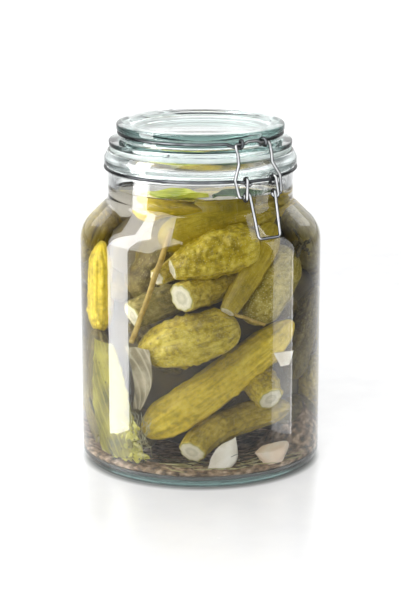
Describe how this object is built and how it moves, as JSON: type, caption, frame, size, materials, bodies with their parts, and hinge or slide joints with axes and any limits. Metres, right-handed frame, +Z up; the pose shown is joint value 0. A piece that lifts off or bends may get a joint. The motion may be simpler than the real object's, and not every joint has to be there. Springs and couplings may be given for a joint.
{
  "type": "clip top jar of pickled gherkins",
  "caption": "Large shut glass preserving jar with a glass lid, gasket and wire clasp, packed with pickled gherkins, garlic and leaves.",
  "frame": {"origin": "centre of the jar's base, on the surface that it stands on", "axes": "+Z up along the jar's axis, -Y towards the clasp, +Y towards the hinge"},
  "size_m": [0.155, 0.155, 0.2219],
  "materials": {
    "jar_glass": "clear, with a green-blue tint where it is thick",
    "lid_glass": "clear, with a green-blue rim",
    "gasket": "pale translucent silicone",
    "wire": "bright drawn wire",
    "gherkins": "wet yellow-olive skin",
    "leaf": "wet yellow-green leaf",
    "green_leaf": "wet green leaf"
  },
  "bodies": {
    "filled_jar": {"jar": "jar_glass", "neck_band": "wire", "gherkin_heap": "gherkins", "top_leaf": "leaf", "green_leaf": "green_leaf", "wall_leaf": "leaf"},
    "lid_part": {"lid": "lid_glass", "lid_band": "wire", "gasket": "gasket"},
    "link_part": {"link": "wire"},
    "lever_part": {"lever": "wire"}
  },
  "joints": [
    {"name": "lid_hinge", "type": "hinge", "parent": "filled_jar", "child": "lid_part", "pos_m": [0, 0.066, 0.204], "axis": [-1, 0, 0], "range_deg": [0, 105]},
    {"name": "link_pivot", "type": "hinge", "parent": "lid_part", "child": "link_part", "pos_m": [0, -0.0571, 0.2153], "axis": [-1, 0, 0], "range_deg": [0, 100]},
    {"name": "lever_pivot", "type": "hinge", "parent": "filled_jar", "child": "lever_part", "pos_m": [0, -0.0653, 0.1932], "axis": [-1, 0, 0], "range_deg": [0, 120]}
  ]
}
